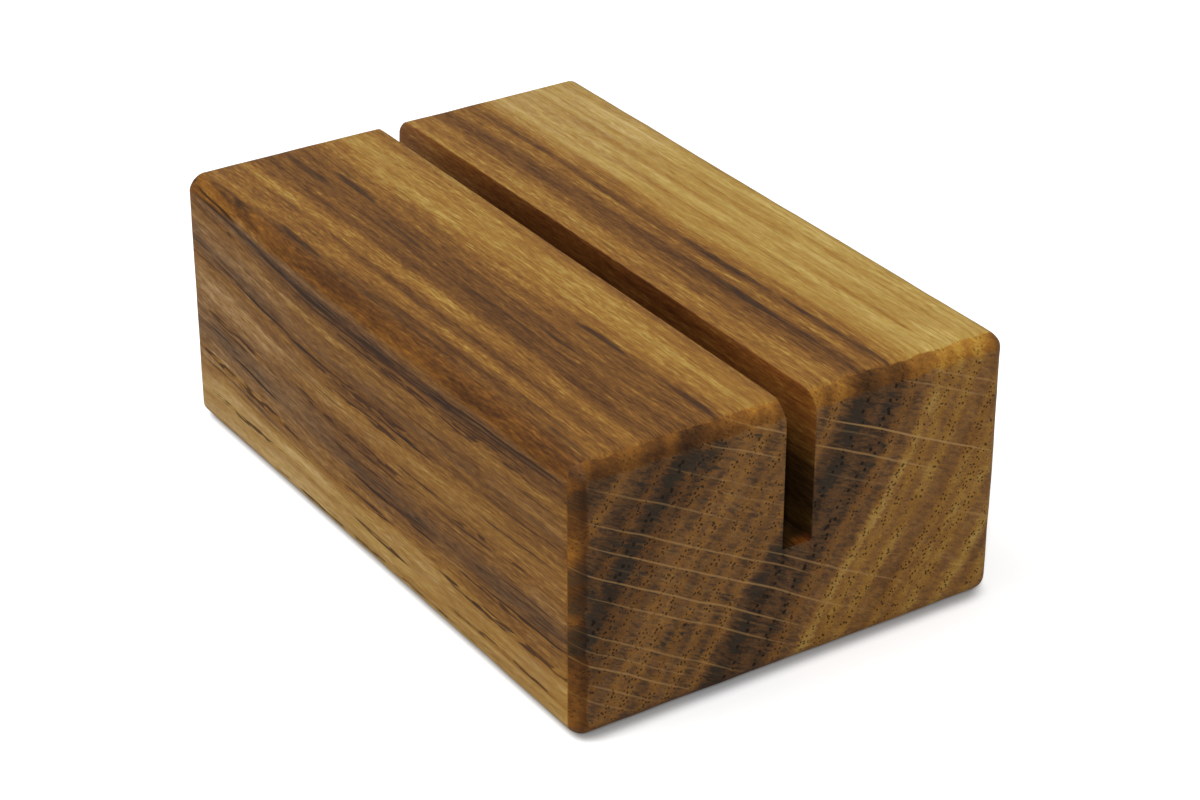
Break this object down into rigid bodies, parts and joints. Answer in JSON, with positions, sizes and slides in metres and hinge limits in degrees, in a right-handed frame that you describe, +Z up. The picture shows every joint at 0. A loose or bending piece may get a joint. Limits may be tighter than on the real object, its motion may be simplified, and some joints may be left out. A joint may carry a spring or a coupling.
{
  "type": "place card holder",
  "caption": "Solid oak block with softened edges and a sawn slot along its top that holds a place card upright.",
  "frame": {"origin": "centre of the underside, on the surface that the block stands on", "axes": "+Y along the grain and the slot, towards the back end; +Z up; +X to the right when the near end grain is faced"},
  "size_m": [0.045, 0.0694, 0.0264],
  "materials": {
    "oak": "oiled satin, open grain, with dark streaks"
  },
  "bodies": {
    "root": {"block": "oak"}
  },
  "joints": []
}
